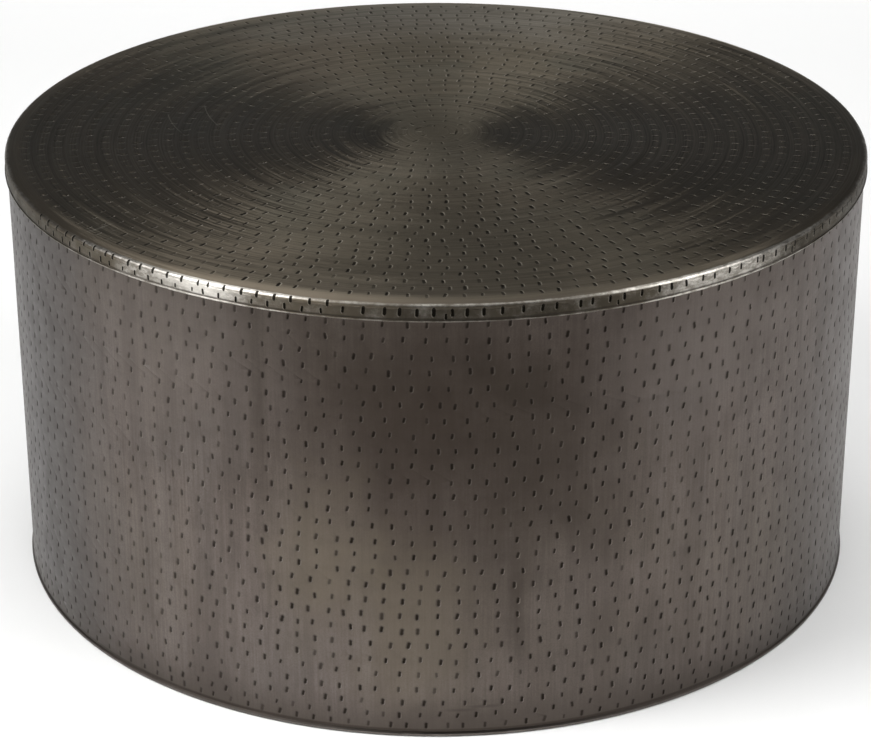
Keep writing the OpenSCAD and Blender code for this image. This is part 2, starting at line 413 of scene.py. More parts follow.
def settle(bearing, radius):
    """How far the lid's flat sinks below its highest plane: long, low waves, never upwards."""
    x, y = radius * np.sin(bearing), -radius * np.cos(bearing)
    wave = np.sin(x / 83 + 1.1) * np.sin(y / 97 - 0.4) + 0.6 * np.sin((x + y) / 61)
    return 0.12 * (wave + 1.6) * smooth(20, 90, radius) * smooth(372, 345, radius)


print("shoulder's centre: radius", round(shoulder_c[0], 2), "and height", round(shoulder_c[1], 2))

# %% The lid's rings of slits
RINGS = 26
RING_STEP = 13.9
OUTER_RING = 362.6
SLIT_STEP = 14.6
RING_GAP = 0.8
lid = Sheet()
centre = lid.add_points(turned(0.0, 0.0, LID_TOP)[None])
half = RING_STEP / 2 - RING_GAP
previous = None
slit_total = 0
for ring in (OUTER_RING - RING_STEP * np.arange(RINGS))[::-1]:
    count = max(6, round(TURN * ring / SLIT_STEP))
    bearing = (np.arange(count) + 0.5 + chance.uniform(-0.25, 0.25)) * TURN / count
    bearing = bearing + 0.16 * TURN / count * np.sin(3 * bearing + chance.uniform(0, TURN))
    bearing = (bearing + chance.normal(0, 0.7, count) / ring)[None]
    along = (ring + chance.normal(0, 0.55, count))[None]
    lean = chance.normal(0, math.radians(5), (1, count))
    outwards = smooth(0, 170, ring)
    size = spread(1.0, 0.1, 0.75, 1.22, (1, count)) * (0.82 + 0.18 * outwards)
    strike = spread(0.82, 0.2, 0.3, 1.0, (1, count)) * (0.6 + 0.4 * outwards)
    wide, long = 1.08 * min(1, ring / 40 + 0.3), min(3.2, ring * 0.25)
    b, t = cell_points(bearing, along, lean, wide * size, long * size, ring,
                       ring - half, ring + half, even_edges=True)
    ripple = 0.03 * (1 + np.cos(TURN * (t - ring) / RING_STEP))
    sink = cell_sink(0.15 + 0.35 * strike, 0.03)
    first = lid.add_points(turned(b, t, lid_height(t) - sink - ripple - settle(b, t)))
    faces, places, dents, slit = cell_faces(b, t, bearing, along, lean, size, ring, first)
    lid.add_faces(faces[:, ::-1], places[:, ::-1], dents, strike[0, slit[:, 1]])
    files = 4 * count
    if previous is None:
        f = np.arange(files)
        lid.add_faces(np.stack([np.full(files, centre), first + f, first + (f + 1) % files], -1))
    else:
        lid.add_faces(between(first, files, *previous))
    previous = (first + 5 * files, files)
    slit_total += count
print("lid:", RINGS, "rings with", slit_total, "slits")

# %% [markdown]
# Below the flat, the section is one stack of rings with a single number of cells: the margin, the
# shoulder, the two rows of the skirt, the lip's roll, and the underside back to the middle. The
# skirt has one row of slits round it. On the left the maker struck two rows, the upper one high
# on the shoulder, and left a bare stretch past them. A few strays stand lower elsewhere.

# %% The two rows of the skirt
SKIRT_CELLS = 171
files = 4 * SKIRT_CELLS
even = np.arange(files) * TURN / files
cell = TURN / SKIRT_CELLS
middles = (np.arange(SKIRT_CELLS) + 0.5) * cell + chance.normal(0, 1.5, SKIRT_CELLS) / SKIRT_R
skirt_b = np.stack([middles, middles + 0.38 * cell + chance.normal(0, 0.7, SKIRT_CELLS) / SKIRT_R])
degrees = degrees_off(skirt_b[1], 0)
double = (degrees > -60) & (degrees < -12)
extra = ~double & (chance.uniform(0, 1, SKIRT_CELLS) < 0.1)
plain = (degrees > -100) & (degrees < -60)
right = smooth(5, 30, degrees) * (degrees < 120)
present = np.stack([(double | extra) & ~plain, ~plain])
jitter = spread(0, 0.15, -0.25, 0.25, present.shape)
row_t = np.array([[379.7], [384.2]]) + jitter
low_t, low_size = np.full(SKIRT_CELLS, 380.4), np.full(SKIRT_CELLS, 0.76)
slit_t = np.stack([low_t, np.where(double, 387.4, 383.4 + 1.3 * right)]) + 2 * jitter
slit_size = np.stack([low_size, np.where(double, 0.92, 1.06 - 0.2 * right)])
slit_size = slit_size * spread(1, 0.1, 0.75, 1.2, present.shape)
slit_lean = chance.normal(0.03, 0.06, present.shape)
dented = present & np.stack([np.ones(SKIRT_CELLS, bool), ~double])
print("skirt:", int(present.sum()), "slits")


# %% [markdown]
# Some of the skirt's slits are longer than their cell, and the upper ones on the left run up over
# the shoulder. So on the skirt and the shoulder each triangle is given to the slit nearest to it,
# and measured in that slit's frame, with the section's length in place of the height. The frame
# is mirrored there, and squeezed across, which puts the lip on the left and makes the slit slim.
# The slits high on the shoulder have no dent, and are drawn by the finish alone.

# %% The slit nearest to a triangle
LINE_HALF = 2
REACH = 6
MIRROR_AND_SLIM = np.array([-1.3, 1.0])


def nearest_slit(turn, up):
    """Places of triangles' corners, at bearings turn and section lengths up, in the frame of the
    nearest slit. The distance is taken to a slit as a line of 4 mm, among the six next ones."""
    mid_turn, mid_up = turn.mean(axis=1)[:, None], up.mean(axis=1)[:, None]
    row = np.array([0, 0, 0, 1, 1, 1])[None]
    i = (np.round(mid_turn / cell - 0.7).astype(int) + np.array([-1, 0, 1, -1, 0, 1])[None]) % SKIRT_CELLS
    across = ((mid_turn - skirt_b[row, i] + math.pi) % TURN - math.pi) * SKIRT_R
    beyond = np.maximum(np.abs(mid_up - slit_t[row, i]) - LINE_HALF, 0)
    far = np.where(present[row, i], np.hypot(across, beyond), 99.0)
    best = far.argmin(axis=1)
    row, i = best // 3, i[np.arange(len(best)), best]
    across = ((turn - skirt_b[row, i][:, None] + math.pi) % TURN - math.pi) * SKIRT_R
    along = up - slit_t[row, i][:, None]
    cos, sin = np.cos(slit_lean[row, i])[:, None], np.sin(slit_lean[row, i])[:, None]
    place = np.stack([across * cos - along * sin, along * cos + across * sin], axis=-1)
    place = place / slit_size[row, i][:, None, None] * MIRROR_AND_SLIM
    near = far.min(axis=1) < REACH
    place[~near] = NOWHERE
    return place, near.astype(float)


# %% The skirt's mesh
b, t = cell_points(skirt_b, row_t, slit_lean, 0.85 * slit_size, np.full(slit_size.shape, 1.9), SKIRT_R,
                   LIP_C[1] + LIP_R * 0.98, shoulder_c[1], even_edges=True)
first = lid.add_points(turned(b, SKIRT_R - cell_sink(np.where(dented, 0.5, 0.0), 0.0), t))
still = np.zeros(skirt_b.shape)
faces, spots, dents, slit = cell_faces(b, t, still, still, still, still + 1, 1.0, first)
places, there = nearest_slit(spots[..., 0], spots[..., 1])
lid.add_faces(faces, places, dents & dented[slit[:, 0], slit[:, 1]], there)
skirt_low, skirt_high = first, first + 10 * files
print("skirt:", len(b), "rings of", files, "points")

# %% Shoulder and margin
margin_r, margin_z = arc((MARGIN_R, LID_TOP - MARGIN_ARC), MARGIN_ARC, math.degrees(MARGIN_SLOPE), 5.4, 2)
shoulder_r, shoulder_z = arc(shoulder_c, SHOULDER_R, 90, 8, 9)
up_r = np.concatenate([shoulder_r, margin_r[1:]])
up_z = np.concatenate([shoulder_z, margin_z[1:]])
up_t = shoulder_c[1] + np.concatenate([[0], np.cumsum(np.hypot(np.diff(up_r), np.diff(up_z)))])
first = lid.add_points(turned(even, up_r[1:, None], up_z[1:, None]))
ladder = np.concatenate([[skirt_high], first + files * np.arange(len(up_r) - 1)])
f = np.arange(files)
turn = np.concatenate([np.stack([f, f + 1, f + 1], -1), np.stack([f, f + 1, f], -1)]) * TURN / files
for lower, upper, up_a, up_b in zip(ladder[:-1], ladder[1:], up_t[:-1], up_t[1:]):
    up = np.repeat([[up_a, up_a, up_b], [up_a, up_b, up_b]], files, axis=0)
    places, there = nearest_slit(turn, up)
    lid.add_faces(step_faces(lower, upper, files), places, strikes=there)
lid.add_faces(between(ladder[-1], files, *previous))
print("shoulder and margin:", len(ladder) - 1, "steps")

# %% Down from the skirt: the lip's roll, the inside of the skirt, and the underside
lip_r, lip_z = arc(LIP_C, LIP_R, 10, 262, 11)
under_r, under_z = arc(shoulder_c, SHOULDER_R - LID_T, 90, 8, 4)
flat_r, flat_z = arc((MARGIN_R, LID_TOP - MARGIN_ARC), MARGIN_ARC - LID_T, 4, 0, 2)
down_r = np.concatenate([lip_r, [SKIRT_R - LID_T], under_r, flat_r])
down_z = np.concatenate([lip_z, [LIP_C[1] + LID_T], under_z, flat_z])
first = lid.add_points(turned(even, down_r[:, None], down_z[:, None]))
ladder = np.concatenate([[skirt_low], first + files * np.arange(len(down_r))])
for upper, lower in zip(ladder[:-1], ladder[1:]):
    lid.add_faces(step_faces(lower, upper, files))
middle = lid.add_points(turned(0.0, 0.0, LID_TOP - LID_T)[None])
lid.add_faces(np.stack([np.full(files, middle), ladder[-1] + (f + 1) % files, ladder[-1] + f], -1))
punched_lid = lid.make("punched_lid", "lid", "lid_skin")

# %% [markdown]
# ## Small helpers for node trees
# A node tree is easier to read as a recipe. Most steps of it add a node and give back a pair, the
# node and its output, which the later steps link from.


# %% The recipe
class Recipe:
    """A node tree that is written step by step. A value in it is a number, a vector, a colour or
    a pair: a node, and the name or number of its output."""

    def __init__(self, tree):
        self.tree = tree

    def plug(self, node, socket, value):
        """Sets an input socket, or links to it. A colour of three numbers is made opaque."""
        if isinstance(value, tuple) and isinstance(value[0], bpy.types.Node):
            self.tree.links.new(value[0].outputs[value[1]], node.inputs[socket])
            return
        if node.inputs[socket].type == "RGBA" and len(value) == 3:
            value = (*value, 1)
        node.inputs[socket].default_value = value

    def add(self, kind, inputs=None, **settings):
        """A new node, with its settings and its inputs."""
        node = self.tree.nodes.new(kind)
        for key, value in settings.items():
            setattr(node, key, value)
        for key, value in (inputs or {}).items():
            self.plug(node, key, value)
        return node

    def math(self, operation, first, *others):
        """Math nodes in a row, each with the next value."""
        for value in others or (0.0,):
            first = self.add("ShaderNodeMath", {0: first, 1: value}, operation=operation), "Value"
        return first

    def plus(self, *values):
        return self.math("ADD", *values)

    def minus(self, *values):
        return self.math("SUBTRACT", *values)

    def times(self, *values):
        return self.math("MULTIPLY", *values)

    def most(self, *values):
        return self.math("MAXIMUM", *values)

    def about(self, value, size):
        """How far a noise is off its middle, times a size."""
        return self.times(self.minus(value, 0.5), size)

    def vector(self, operation, a, b=None):
        """A Vector Math node. SCALE takes a number as its second value."""
        inputs = {0: a} if b is None else {0: a, "Scale" if operation == "SCALE" else 1: b}
        node = self.add("ShaderNodeVectorMath", inputs, operation=operation)
        return node, "Value" if operation in ("LENGTH", "DOT_PRODUCT") else "Vector"

    def parts(self, vector):
        """The X, Y and Z of a vector."""
        node = self.add("ShaderNodeSeparateXYZ", {0: vector})
        return (node, "X"), (node, "Y"), (node, "Z")

    def join(self, x, y, z):
        """A vector of three numbers."""
        return self.add("ShaderNodeCombineXYZ", {"X": x, "Y": y, "Z": z}), "Vector"

    def coords(self):
        """The point, in the object's own coordinates."""
        return self.add("ShaderNodeTexCoord"), "Object"

    def stretch(self, vector, scale):
        """A vector scaled on each axis."""
        return self.add("ShaderNodeMapping", {"Vector": vector, "Scale": scale}), "Vector"

    def noise(self, vector, scale, detail=3.0, roughness=0.55, result="Fac"):
        """A Noise Texture."""
        inputs = {"Vector": vector, "Scale": scale, "Detail": detail, "Roughness": roughness}
        return self.add("ShaderNodeTexNoise", inputs), result

    def ramp(self, value, low, high, to_low=0.0, to_high=1.0):
        """A soft Map Range from low..high to to_low..to_high."""
        inputs = {"Value": value, "From Min": low, "From Max": high, "To Min": to_low, "To Max": to_high}
        return self.add("ShaderNodeMapRange", inputs, interpolation_type="SMOOTHSTEP"), "Result"

    def blend(self, factor, a, b):
        """Two colours mixed by a factor."""
        return self.add("ShaderNodeMix", {0: factor, 6: a, 7: b}, data_type="RGBA"), 2

    def use(self, group, inputs):
        """A node group placed in the tree."""
        return self.add("ShaderNodeGroup", inputs, node_tree=group)


def new_group(name, inputs, outputs):
    """A node group to be filled. Its inputs are named with their defaults, None for a vector, and
    its outputs are numbers. The results are its recipe, a function that sends values to its
    outputs, and its inputs."""
    tree = bpy.data.node_groups.new(name, "ShaderNodeTree")
    for label, value in inputs.items():
        kind = "NodeSocketVector" if value is None else "NodeSocketFloat"
        socket = tree.interface.new_socket(label, in_out="INPUT", socket_type=kind)
        if value is not None:
            socket.default_value = value
    for label in outputs:
        tree.interface.new_socket(label, in_out="OUTPUT", socket_type="NodeSocketFloat")
    g = Recipe(tree)
    source, target = g.add("NodeGroupInput"), g.add("NodeGroupOutput")

    def send(**results):
        for label, pair in results.items():
            g.plug(target, label, pair)

    return g, send, [(source, label) for label in inputs]


# %% [markdown]
# ## The slits in the finish
# The dent is real, but the edge of the cut is finer than the mesh. This group measures the distance to the
# slit in the slit's own frame: a capsule, which is a line with round ends. From it come the dark bottom, the
# stain round it, and the burr that the chisel raised on one side. The finishes use the dark bottom partly as
# painted shade in the cut, and the burr partly as a painted highlight on its edge.

# %% The slit group
g, send, (half_width, half_length, ragged, soft) = new_group(
    "chisel_slit", {"Half Width": 0.9, "Half Length": 2.8, "Ragged": 0.25, "Soft": 0.3},
    ("Core", "Stain", "Burr"))
slit_group = g.tree
strike = g.add("ShaderNodeAttribute", attribute_name="strike"), "Fac"
wobble = g.about(g.noise(g.coords(), 900.0, 2.0), ragged)
across, along = g.parts((g.add("ShaderNodeUVMap", uv_map="slit"), "UV"))[:2]
side = g.math("ABSOLUTE", across)
straight = g.minus(half_length, half_width)
past = g.most(g.minus(g.math("ABSOLUTE", along), straight), 0.0)
far = g.math("SQRT", g.plus(g.times(side, side), g.times(past, past)))
gap = g.plus(g.minus(far, half_width), wobble)
core = g.times(g.ramp(gap, soft, g.times(soft, -1.0)), strike)
stain = g.times(g.ramp(gap, 1.8, -0.1), strike)
burr = g.times(g.ramp(gap, -0.1, 0.3), g.ramp(gap, 1.3, 0.4), g.ramp(across, -0.3, 0.7),
               g.ramp(along, 2.4, 0.0, 0.3, 1.0), strike)
send(Core=core, Stain=stain, Burr=burr)
print("chisel_slit has", len(g.tree.nodes), "nodes")

# %% [markdown]
# ## Patina, wear, hairlines, spots and scratches
# The patina is an uneven film, so its group gives four noises: broad clouds, finer mottling, a cooler tarnish
# and warmer places. Wear takes the film off where the sheet sticks out, in broken patches, so its mask is a
# band plus noise; the finishes also use that mask for painted highlights on edges. Hairlines run where a slow
# noise crosses its middle.
# A soft spot is an ellipsoid with a ragged edge, and a scratch is a bowed line that starts and
# ends thinly.

# %% The other groups
g, send, (vector,) = new_group("patina", {"Vector": None}, ("Cloud", "Mottle", "Tarnish", "Warmth"))
patina_group = g.tree
send(Cloud=g.noise(vector, 5.0, 4.0, 0.6),
     Mottle=g.noise(vector, 38.0, 5.0, 0.62),
     Tarnish=g.noise(g.stretch(vector, (1.0, -1.0, 1.4)), 7.0, 4.0, 0.6),
     Warmth=g.noise(g.stretch(vector, (1.0, 1.0, 1.7)), 3.1, 3.0))

g, send, (vector, band, broken) = new_group(
    "edge_wear", {"Vector": None, "Band": 0.0, "Broken": 0.5}, ("Wear",))
wear_and_glint_group = g.tree
broken = g.about(g.noise(vector, 60.0, 5.0, 0.7), broken)
send(Wear=g.ramp(g.plus(band, broken), 0.2, 1.0))

g, send, (vector, rare) = new_group("hairlines", {"Vector": None, "Rare": 0.6}, ("Line",))
hair_group = g.tree
drift = g.minus(g.noise(vector, 9.0, 1.0, 0.3), 0.5)
line = g.ramp(g.math("ABSOLUTE", drift), 0.003, 0.0005)
where = g.noise(vector, 13.0, 2.0, 0.5)
send(Line=g.times(line, g.ramp(where, rare, g.plus(rare, 0.06))))

g, send, (vector, centre, size, ragged) = new_group(
    "soft_spot", {"Vector": None, "Centre": None, "Size": None, "Ragged": 0.5}, ("Mask",))
spot_group = g.tree
apart = g.vector("SUBTRACT", vector, centre)
apart = g.vector("LENGTH", g.vector("DIVIDE", apart, size))
uneven = g.about(g.noise(vector, 14.0, 4.0, 0.6), ragged)
send(Mask=g.ramp(g.plus(apart, uneven), 1.0, 0.0))

g, send, (vector, start, way, length, bow, width) = new_group(
    "scratch", {"Vector": None, "Start": None, "Way": None, "Length": 0.03, "Bow": 0.002, "Width": 0.0005},
    ("Line",))
scratch_group = g.tree
apart = g.vector("SUBTRACT", vector, start)
part = g.math("DIVIDE", g.vector("DOT_PRODUCT", apart, way), length)
off = g.parts(g.vector("CROSS_PRODUCT", apart, way))[2]
bow = g.times(g.minus(part, g.times(part, part)), 4.0, bow)
off = g.math("ABSOLUTE", g.minus(off, bow))
send(Line=g.times(g.ramp(off, width, 0.0), g.ramp(part, 0.0, 0.12), g.ramp(part, 1.0, 0.7)))
print("groups:", [group.name for group in bpy.data.node_groups])


# %% Layers of a finish
def layered(m, tone, layers):
    """A colour with layers over it: each is a noise, from where to where it fades in, how strong
    it gets, and its colour."""
    for mask, low, high, much, colour in layers:
        tone = m.blend(m.ramp(mask, low, high, 0.0, much), tone, colour)
    return tone


def spot(m, coords, centre, size, ragged=1.0):
    """A soft patch round a point of the object, as a mask."""
    inputs = {"Vector": coords, "Centre": centre, "Size": size, "Ragged": ragged}
    return m.use(spot_group, inputs), "Mask"


def spotted(m, tone, coords, spots):
    """A colour with patches on it: each is a centre, a size, how ragged and how strong it is, and
    its colour."""
    for centre, size, ragged, much, colour in spots:
        tone = m.blend(m.times(spot(m, coords, centre, size, ragged), much), tone, colour)
    return tone


def new_material(name):
    """A material with an empty tree but for its Principled shader and output."""
    material = bpy.data.materials.new(name)
    material.use_nodes = True
    material.node_tree.nodes.clear()
    m = Recipe(material.node_tree)
    shader = m.add("ShaderNodeBsdfPrincipled")
    m.add("ShaderNodeOutputMaterial", {"Surface": (shader, "BSDF")})
    return material, m, shader


def cover(m, shader, tone, dull, height, strength=0.4, deep=0.0003, metallic=1.0):
    """The colour, roughness and fine relief of a finish, plugged into its shader."""
    relief = m.add("ShaderNodeBump", {"Strength": strength, "Distance": deep, "Height": height}), "Normal"
    for socket, value in (("Base Color", tone), ("Roughness", dull),
                          ("Normal", relief), ("Metallic", metallic)):
        m.plug(shader, socket, value)


# %% [markdown]
# ## The drum's finish
# The drum was brushed up and down before it was patinated, so its grain, streaks and smears run up the wall:
# noise on coordinates that are squeezed along Z. Over that lie patches of the film: two golden places low on
# the front, two paler ones high on the sides, and a few dark blotches and streaks. Painted shade darkens a
# broad stretch of the upper front, a place low on the right of the front, a long narrow dent, a crease near
# the foot, the groove above the foot's roll, the flanks and the foot. The film is thin, so the metal
# underneath still decides how it shines: fully metallic, dark, and fairly rough.

# %% Material of the drum's sheet
GOLD, PALE, DARK = (0.156, 0.132, 0.097), (0.200, 0.172, 0.156), (0.042, 0.034, 0.027)
wall_metal, m, shader = new_material("pewter_wall")
coords = m.coords()
x, y, z = m.parts(coords)
slit = m.use(slit_group, {"Half Width": 1.05, "Half Length": 2.5, "Ragged": 0.7, "Soft": 0.75})
film = m.use(patina_group, {"Vector": coords})
grain = m.noise(m.stretch(coords, (1.0, 1.0, 0.035)), 520.0, 3.0, 0.6)
streak = m.noise(m.stretch(coords, (1.0, 1.0, 0.12)), 45.0, 3.0, 0.6)
smear = m.noise(m.stretch(coords, (1.0, 1.0, 0.09)), 17.0, 5.0, 0.7)
tooth = m.noise(coords, 700.0, 3.0, 0.7)
tone = m.blend(m.ramp((film, "Cloud"), 0.3, 0.7), (0.131, 0.109, 0.097), (0.181, 0.151, 0.134))
tone = layered(m, tone, (
    ((film, "Warmth"), 0.45, 0.7, 0.6, (0.144, 0.124, 0.101)),
    ((film, "Tarnish"), 0.5, 0.7, 0.35, (0.116, 0.108, 0.102)),
    (streak, 0.35, 0.75, 0.5, (0.192, 0.167, 0.153)),
    (smear, 0.42, 0.66, 0.55, (0.084, 0.070, 0.062)),
    (grain, 0.3, 0.7, 0.42, (0.094, 0.078, 0.069)),
    (tooth, 0.4, 0.65, 0.3, (0.080, 0.067, 0.059)),
    ((film, "Mottle"), 0.5, 0.75, 0.25, (0.094, 0.078, 0.069))))
# Painted shade: a broad dark patch on the upper front, where the wall mirrors a dim room.
painted_shade = spot(m, coords, (0.01, -0.37, 0.29), (0.275, 0.3, 0.29), 0.5)
tone = m.blend(m.times(painted_shade, 0.9), tone, (0.043, 0.033, 0.026))
tone = spotted(m, tone, coords, (
    ((-0.095, -0.365, 0.165), (0.07, 0.3, 0.13), 1.0, 0.45, GOLD),
    ((-0.02, -0.377, 0.095), (0.085, 0.3, 0.13), 1.0, 0.45, GOLD),
    # Painted shade low on the right of the front.
    ((0.10, -0.365, 0.05), (0.17, 0.3, 0.2), 0.6, 0.45, (0.072, 0.060, 0.051)),
    ((-0.206, -0.317, 0.325), (0.12, 0.3, 0.12), 1.0, 0.4, PALE),
    ((0.222, -0.306, 0.325), (0.12, 0.3, 0.12), 1.0, 0.4, PALE),
    ((0.034, -0.376, 0.334), (0.026, 0.026, 0.026), 1.8, 0.4, DARK),
    ((0.075, -0.371, 0.318), (0.034, 0.034, 0.034), 1.8, 0.4, DARK),
    # Painted shade down a long narrow dent.
    ((0.066, -0.372, 0.120), (0.012, 0.3, 0.095), 0.9, 0.5, DARK),
    # Painted shade at the foot in front, and along a crease just above it.
    ((0.040, -0.376, 0.0), (0.10, 0.2, 0.05), 0.6, 0.5, DARK),
    ((0.020, -0.378, 0.0245), (0.020, 0.1, 0.0024), 0.3, 0.5, DARK),
    ((0.040, -0.376, 0.0275), (0.020, 0.1, 0.0024), 0.3, 0.5, DARK),
    # Painted shade that widens the broad dark patch downwards.
    ((0.08, -0.37, 0.24), (0.09, 0.3, 0.12), 0.8, 0.35, DARK),
    ((-0.140, -0.35, 0.30), (0.012, 0.3, 0.14), 0.9, 0.4, DARK)))
print("film and stains:", len(m.tree.nodes), "nodes")

# %% The drum's slits, flanks and foot
stained = m.times((slit, "Stain"), m.ramp(z, 0.24, 0.10, 0.4, 0.75))
tone = m.blend(stained, tone, (0.062, 0.051, 0.043))
# The burr on one side of each slit is painted lighter, as a highlight on its raised edge, and less so inside
# the painted shade.
uneven = m.ramp(m.noise(coords, 26.0, 1.0), 0.35, 0.65, 0.15, 0.6)
burr_and_glint = m.times((slit, "Burr"), uneven, m.ramp(painted_shade, 0.0, 1.0, 1.0, 0.35))
tone = m.blend(burr_and_glint, tone, (0.30, 0.265, 0.24))
# Painted shade on the flanks, at the foot, and in the groove above the foot's roll.
flank_shade = m.most(m.ramp(x, -0.25, -0.35, 0.0, 0.9), m.ramp(x, 0.29, 0.36, 0.0, 0.35))
tone = m.blend(flank_shade, tone, (0.078, 0.070, 0.066))
tone = m.blend(m.ramp(z, 0.045, 0.004, 0.0, 0.75), tone, (0.080, 0.067, 0.058))
groove_shade = m.times(m.ramp(z, 0.0072, 0.0058), m.ramp(z, 0.0040, 0.0050, 0.0, 0.7))
tone = m.blend(groove_shade, tone, (0.046, 0.037, 0.030))
# The top of the foot's roll is lighter, as wear and as a painted highlight.
wear_and_glint = m.use(wear_and_glint_group, {"Vector": coords, "Band": m.ramp(z, 0.0040, 0.0025, 0.0, 0.6)})
tone = m.blend(m.times((wear_and_glint, "Wear"), 0.6), tone, (0.3, 0.28, 0.26))
# The slits' bottoms are painted dark, as patina and as shade in the cut, fainter high on the sides.
aside = m.math("ABSOLUTE", x)
sides = m.times(m.ramp(aside, 0.10, 0.22), m.ramp(aside, 0.34, 0.26, 0.3, 1.0))
faint = m.times(sides, m.ramp(z, 0.08, 0.24, 0.0, 0.32))
tone = m.blend(m.times((slit, "Core"), m.minus(0.97, faint)), tone, (0.028, 0.022, 0.018))
dull = m.plus(m.ramp((film, "Mottle"), 0.3, 0.75, 0.38, 0.48), m.times((slit, "Core"), 0.3))
height = m.plus(m.times(grain, 0.3), m.times((film, "Mottle"), 0.5), m.times((slit, "Burr"), 0.6))
cover(m, shader, tone, dull, m.minus(height, (slit, "Core")))
punched_wall.data.materials.append(wall_metal)
print("pewter_wall has", len(m.tree.nodes), "nodes")

# %% [markdown]
# ## The lid's finish
# The lid was polished on the lathe, so its scratches run in circles: noise that changes slowly round the lid
# and quickly with the radius. Its colour is painted paler at the back and at the front left, as sheen, and
# darker in front and in the middle, as shade.

# %% The film on the lid
lid_metal, m, shader = new_material("pewter_lid")
coords = m.coords()
x, y, z = m.parts(coords)
flat = m.join(x, y, 0.0)
from_axis = m.vector("LENGTH", flat)
away = m.vector("NORMALIZE", flat)
slit = m.use(slit_group, {"Half Width": m.ramp(from_axis, 0.3765, 0.3785, 1.12, 1.6),
                          "Half Length": 3.2, "Ragged": 0.6, "Soft": 0.35})
film = m.use(patina_group, {"Vector": coords})


def circling(around, outwards, detail, roughness):
    """Noise with its own scale round the lid and another one outwards from the axis."""
    stretched = m.join(m.times(x, around), m.times(y, around), m.times(from_axis, outwards))
    return m.noise(stretched, 1.0, detail, roughness)


spun = circling(8.0, 700.0, 4.0, 0.65)
bands = circling(3.0, 55.0, 3.0, 0.6)
arcs = circling(11.0, 170.0, 3.0, 0.6)
tone = m.blend(m.ramp((film, "Cloud"), 0.3, 0.7), (0.106, 0.090, 0.065), (0.146, 0.125, 0.091))
tone = layered(m, tone, (
    ((film, "Warmth"), 0.4, 0.7, 0.5, (0.134, 0.108, 0.086)),
    ((film, "Tarnish"), 0.45, 0.65, 0.6, (0.098, 0.100, 0.080)),
    (bands, 0.35, 0.7, 0.45, (0.172, 0.149, 0.115)),
    (arcs, 0.45, 0.7, 0.35, (0.190, 0.164, 0.126))))
# Painted sheen at the back and at the front left, and painted shade in front.
tone = spotted(m, tone, coords, (
    ((0.03, 0.34, 0.39), (0.36, 0.14, 0.1), 1.0, 0.7, (0.225, 0.212, 0.185)),
    ((-0.27, -0.17, 0.39), (0.2, 0.2, 0.1), 1.0, 0.45, (0.260, 0.222, 0.165)),
    ((0.05, -0.27, 0.39), (0.34, 0.30, 0.1), 1.0, 0.85, (0.060, 0.050, 0.035))))
# Painted shade in the middle of the lid, and darker arcs of the film.
tone = layered(m, tone, ((from_axis, 0.13, 0.02, 0.75, (0.064, 0.057, 0.043)),
                         (arcs, 0.5, 0.3, 0.25, (0.060, 0.052, 0.040))))
tone = m.blend(m.ramp(spun, 0.35, 0.7, 0.12, 0.72), tone, (0.056, 0.049, 0.038))
tone = m.blend(m.times((slit, "Stain"), 0.3), tone, (0.046, 0.040, 0.031))
print("film:", len(m.tree.nodes), "nodes")

# %% Hairlines, and four scratches on the left of the lid
SCRATCHES = ((-0.2923, -0.2402, -0.262, -0.2115, 0.0006, 0.0011),
             (-0.2838, -0.2368, -0.268, -0.2185, 0.0, 0.0009),
             (-0.243, 0.050, -0.2225, -0.008, 0.003, 0.0008),
             (-0.2115, 0.074, -0.189, 0.006, 0.004, 0.0007))
hair = m.use(hair_group, {"Vector": coords, "Rare": 0.66})
tone = m.blend(m.times((hair, "Line"), 0.3), tone, (0.34, 0.32, 0.28))
for from_x, from_y, to_x, to_y, bow, wide in SCRATCHES:
    long = math.hypot(to_x - from_x, to_y - from_y)
    scratch = m.use(scratch_group, {
        "Vector": coords, "Start": (from_x, from_y, LID_TOP * MM),
        "Way": ((to_x - from_x) / long, (to_y - from_y) / long, 0.0),
        "Length": long, "Bow": bow, "Width": wide})
    tone = m.blend(m.times((scratch, "Line"), 0.6), tone, (0.42, 0.39, 0.33))
print("with hairlines and scratches:", len(m.tree.nodes), "nodes")

# %% [markdown]
# Wear brightens the shoulder, the skirt and the lip, most where hands have rubbed them: at four bearings,
# given with how many degrees off each the wear ends. The two in front also stand for painted highlights,
# where lamps shine in the shoulder and the skirt. Left of the front a spot is painted as polished metal,
# which is also a painted glint. The groove above the lip is painted dark, as shade.


# %% Wear on the lid's edge
RUBBED_AND_LIT_AT = ((-32, 22), (38, 22), (142, 22), (-151, 20))


def near_bearing(bearing, wide):
    """A mask that is 1 at a bearing and falls to 0 round the lid, so many degrees off it."""
    a = math.radians(bearing)
    off = m.vector("DOT_PRODUCT", away, (math.sin(a), -math.cos(a), 0.0))
    off = m.math("ARCCOSINE", m.math("MINIMUM", off, 0.99999))
    return m.ramp(off, math.radians(wide), math.radians(2))


rubbed_and_lit = m.most(*[near_bearing(*place) for place in RUBBED_AND_LIT_AT])
turned_down = m.ramp(from_axis, 0.3745, 0.3785)
shoulder_band = m.times(m.ramp(z, 0.3866, 0.3886), turned_down, m.ramp(rubbed_and_lit, 0.0, 0.6, 0.55, 1.45))
lip_band = m.times(m.ramp(z, 0.3769, 0.3763), m.ramp(rubbed_and_lit, 0.0, 1.0, 0.5, 0.9))
skirt_band = m.times(m.ramp(from_axis, 0.3765, 0.3785), m.ramp(rubbed_and_lit, 0.42, 1.0, 0.29, 0.78))
worn_and_lit = m.most(shoulder_band, lip_band, skirt_band)
wear_and_glint = m.use(wear_and_glint_group, {"Vector": coords, "Band": worn_and_lit, "Broken": 1.0})
